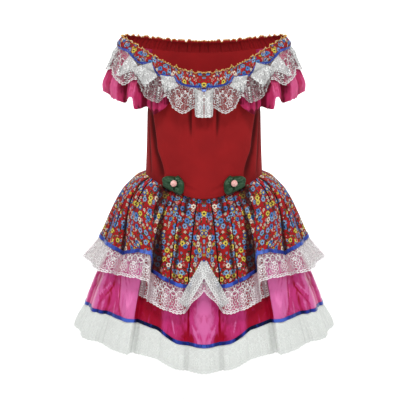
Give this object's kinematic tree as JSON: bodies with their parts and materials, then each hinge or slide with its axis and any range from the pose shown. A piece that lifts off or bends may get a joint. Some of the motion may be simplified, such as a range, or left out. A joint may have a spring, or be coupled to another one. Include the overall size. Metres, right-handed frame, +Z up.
{
  "type": "girl's festa junina dress",
  "caption": "Off-the-shoulder girl's party dress with a gathered neck band, pleated lace frill, flutter sleeves, plain bodice, tiered printed and satin skirts, lace hems and two waist bows.",
  "frame": {"origin": "middle of the neck opening, at the height of the wearer's shoulders", "axes": "+Z up along the wearer's body, the front of the dress faces -Y, +X towards the right of someone who looks at the front"},
  "size_m": [0.5774, 0.436, 0.6819],
  "materials": {
    "bodice_cotton": "plain crimson woven cotton",
    "printed_cotton": "red cotton printed with small flowers",
    "pink_satin": "shiny polyester satin",
    "white_lace": "fine machine lace on a net ground",
    "blue_ribbon": "narrow satin ribbon",
    "green_satin": "dark green satin",
    "pink_bead": "pale pink pearl bead"
  },
  "bodies": {
    "root": {"bodice_front": "bodice_cotton", "bodice_back": "bodice_cotton", "neck_casing": "printed_cotton", "neck_lace": "white_lace", "neck_ribbon": "blue_ribbon", "sleeve_left": "pink_satin", "sleeve_right": "pink_satin", "overskirt_front": "printed_cotton", "overskirt_back": "printed_cotton", "overskirt_ribbon": "blue_ribbon", "overskirt_lace": "white_lace", "underskirt_front": "pink_satin", "underskirt_back": "pink_satin", "underskirt_ribbon": "blue_ribbon", "underskirt_lace": "white_lace", "bow_left": "green_satin", "bow_right": "green_satin", "bud_left": "pink_bead", "bud_right": "pink_bead"}
  },
  "joints": []
}
